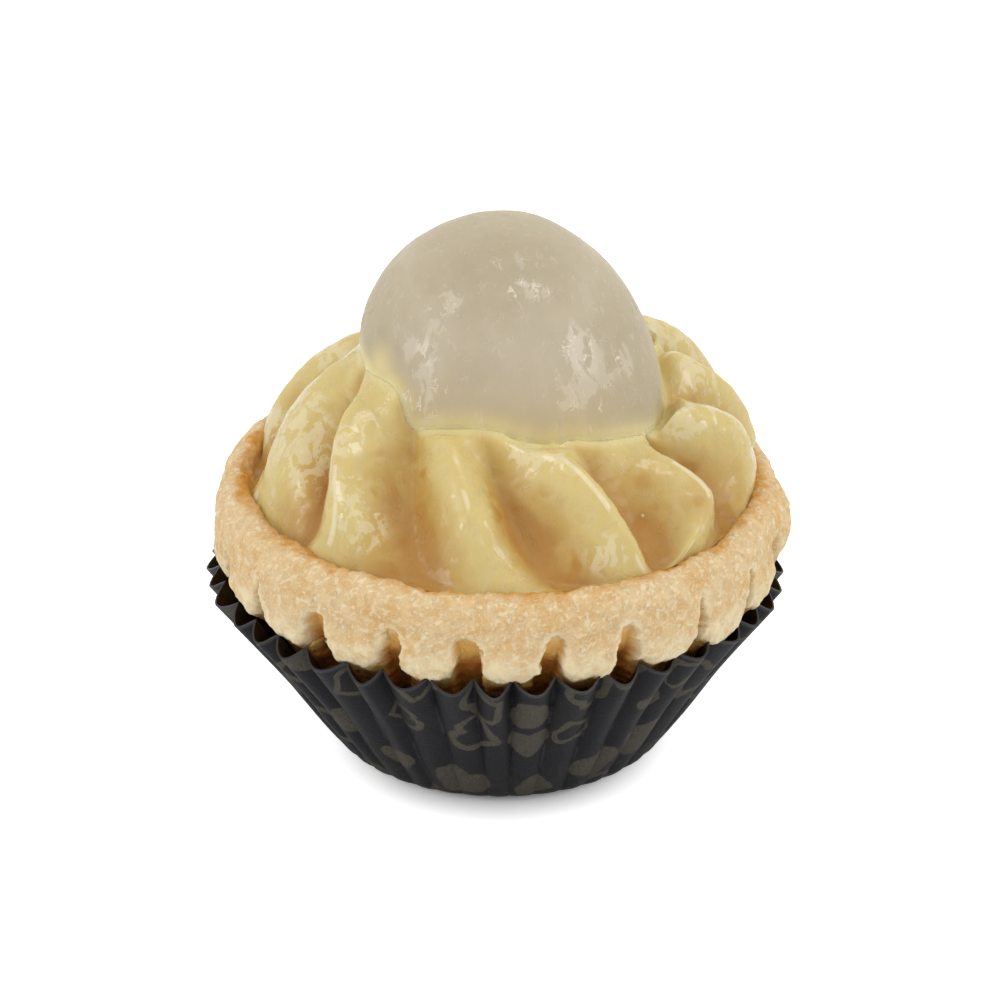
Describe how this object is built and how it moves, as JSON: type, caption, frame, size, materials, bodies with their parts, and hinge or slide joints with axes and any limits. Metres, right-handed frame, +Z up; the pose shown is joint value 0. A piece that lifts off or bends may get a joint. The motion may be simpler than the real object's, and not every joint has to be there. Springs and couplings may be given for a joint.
{
  "type": "fruit tart",
  "caption": "Fruit tart: a peeled lychee on a piped custard rosette in a fluted pastry case, standing in a pleated paper cup.",
  "frame": {"origin": "centre of the paper cup's flat base, where the tart rests", "axes": "+Z up, -Y towards the side shown, +X to the right of it"},
  "size_m": [0.0609, 0.0604, 0.0575],
  "materials": {
    "paper": "dark greaseproof paper with a faint sheen and a dull olive print",
    "pastry": "pale golden shortcrust, dry and crumbly, browner at the inner edge",
    "custard": "pale yellow custard under a clear wet glaze",
    "lychee": "translucent greyish white flesh under a clear wet glaze"
  },
  "bodies": {
    "root": {"paper_cup": "paper", "pastry_case": "pastry", "custard": "custard", "lychee": "lychee"}
  },
  "joints": []
}
